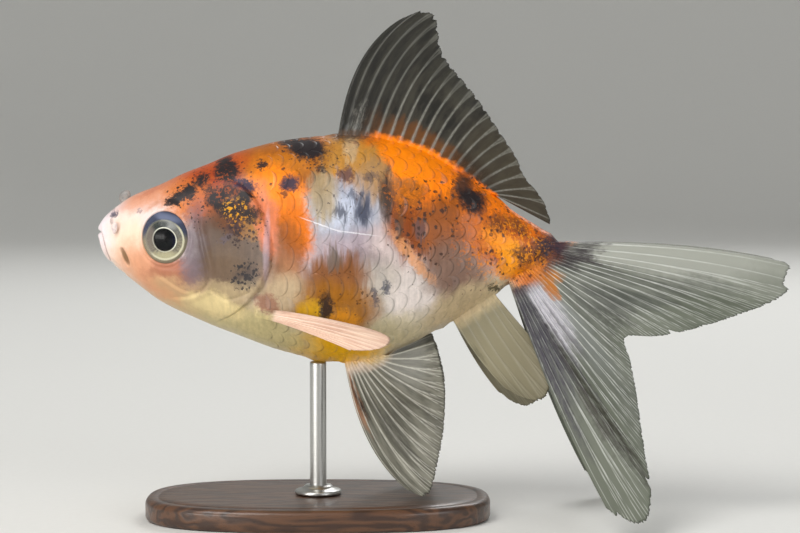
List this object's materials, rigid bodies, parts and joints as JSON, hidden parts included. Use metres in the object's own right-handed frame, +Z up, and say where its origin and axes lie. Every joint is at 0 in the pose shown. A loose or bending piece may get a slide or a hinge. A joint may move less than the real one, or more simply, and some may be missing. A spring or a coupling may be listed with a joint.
{
  "type": "calico fantail goldfish",
  "caption": "Life-size still model of a calico fantail goldfish with a twin tail, tall dorsal fin and deep rounded body, held swimming by a short rod on a small oval stand base.",
  "frame": {"origin": "centre of the flat underside of the stand base", "axes": "+Z up, the fish faces -X with its left side towards -Y, and its median plane is the XZ plane"},
  "size_m": [0.0994, 0.0396, 0.0732],
  "materials": {
    "skin": "smooth wet skin, calico patches of orange, pearl and black",
    "fin": "smoky see-through membrane between pale rays",
    "pale_fin": "cream-pink membrane with fine rays",
    "eye": "high gloss, olive-silver iris with a black pupil",
    "steel": "satin",
    "base": "dark stained, satin"
  },
  "bodies": {
    "root": {"head": "skin", "lower_jaw": "skin", "gill_cover_left": "skin", "gill_cover_right": "skin", "nostril_flap_left": "skin", "nostril_flap_right": "skin", "trunk": "skin", "tail_stalk": "skin", "eye_left": "eye", "eye_right": "eye", "dorsal_fin": "fin", "pectoral_fin_left": "pale_fin", "pectoral_fin_right": "pale_fin", "pelvic_fin_left": "fin", "pelvic_fin_right": "fin", "anal_fin_left": "fin", "anal_fin_right": "fin", "caudal_upper_left": "fin", "caudal_upper_right": "fin", "caudal_lower_left": "fin", "caudal_lower_right": "fin", "stand_base": "base", "stand_collar": "steel", "stand_rod": "steel"}
  },
  "joints": []
}
